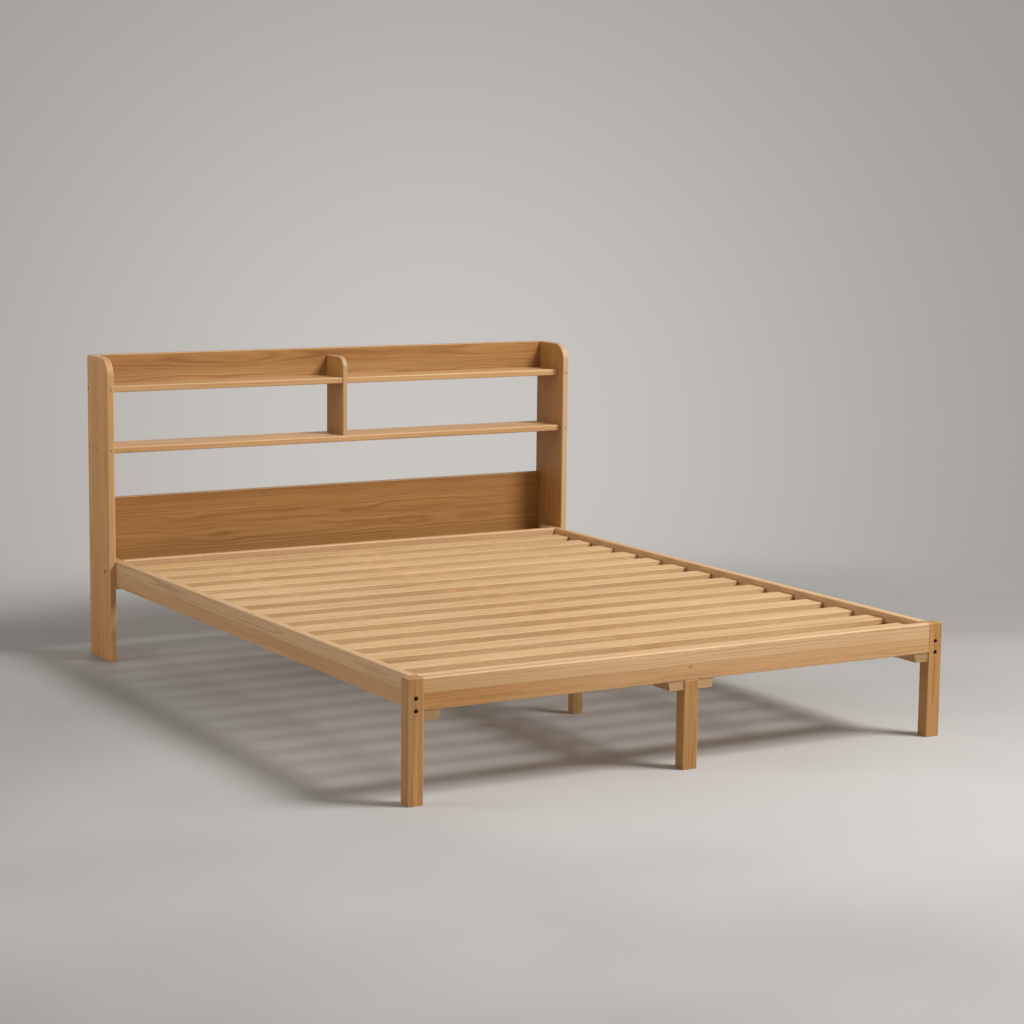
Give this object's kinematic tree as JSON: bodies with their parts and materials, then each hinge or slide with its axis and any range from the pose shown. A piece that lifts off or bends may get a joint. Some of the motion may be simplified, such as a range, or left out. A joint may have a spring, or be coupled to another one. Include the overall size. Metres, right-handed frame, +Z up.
{
  "type": "bed frame",
  "caption": "Wooden bed frame with an open shelf headboard, square legs, wide rails and slats in rolls that lift out.",
  "frame": {"origin": "on the floor, under the middle of the bed's bounding box", "axes": "+Y from the foot end to the headboard, +Z up, and +X to the right as seen from the foot end"},
  "size_m": [1.7, 2.2106, 0.972],
  "materials": {
    "panel_wood": "oiled, satin",
    "divider_wood": "oiled, satin",
    "back_board_wood": "oiled, satin",
    "shelf_wood": "oiled, satin",
    "rail_wood": "oiled, satin",
    "leg_wood": "oiled, satin",
    "block_wood": "planed, matt",
    "support_wood": "planed, matt",
    "slat_wood": "planed, matt",
    "dowel_wood": "plain",
    "plug_wood": "end grain",
    "slat_tape": "woven",
    "black_steel": "black, satin",
    "zinc_steel": "zinc plated"
  },
  "bodies": {
    "frame": {"headboard_side_left": "panel_wood", "headboard_side_right": "panel_wood", "headboard_divider": "divider_wood", "upper_back_board": "back_board_wood", "lower_back_board": "back_board_wood", "upper_shelf_left": "shelf_wood", "upper_shelf_right": "shelf_wood", "middle_shelf": "shelf_wood", "headboard_dowels": "dowel_wood", "panel_screws": "zinc_steel", "panel_screw_plugs": "plug_wood", "shelf_screws": "zinc_steel", "edge_pins": "plug_wood", "cam_locks": "zinc_steel", "cam_bolts": "zinc_steel", "front_leg_left": "leg_wood", "front_leg_right": "leg_wood", "foot_center_leg": "leg_wood", "center_leg_stud": "zinc_steel", "foot_rail": "rail_wood", "side_rail_left": "rail_wood", "side_rail_right": "rail_wood", "head_rail": "rail_wood", "leg_bolts": "black_steel", "rail_end_plates": "zinc_steel", "plate_screws": "zinc_steel", "panel_bolts": "black_steel", "support_leg_bolts": "black_steel", "bolt_nuts": "zinc_steel", "rail_dowels": "dowel_wood", "head_rail_screws": "zinc_steel", "slat_ledger_left": "support_wood", "slat_ledger_right": "support_wood", "ledger_screws": "zinc_steel", "center_beam_left": "support_wood", "center_beam_right": "support_wood", "support_leg_left": "support_wood", "support_leg_right": "support_wood", "corner_block_left": "block_wood", "corner_block_right": "block_wood", "foot_cleat": "block_wood", "head_cleat": "block_wood", "block_screws": "zinc_steel"},
    "foot_slat_roll": {"slat_01": "slat_wood", "slat_02": "slat_wood", "slat_03": "slat_wood", "slat_04": "slat_wood", "slat_05": "slat_wood", "slat_06": "slat_wood", "slat_07": "slat_wood", "foot_roll_tapes": "slat_tape"},
    "head_slat_roll": {"slat_08": "slat_wood", "slat_09": "slat_wood", "slat_10": "slat_wood", "slat_11": "slat_wood", "slat_12": "slat_wood", "slat_13": "slat_wood", "slat_14": "slat_wood", "head_roll_tapes": "slat_tape"}
  },
  "joints": [
    {"name": "foot_roll_lift", "type": "slide", "parent": "frame", "child": "foot_slat_roll", "axis": [0, 0, 1], "range_m": [0, 0.7]},
    {"name": "head_roll_lift", "type": "slide", "parent": "frame", "child": "head_slat_roll", "axis": [0, 0, 1], "range_m": [0, 0.7]}
  ]
}
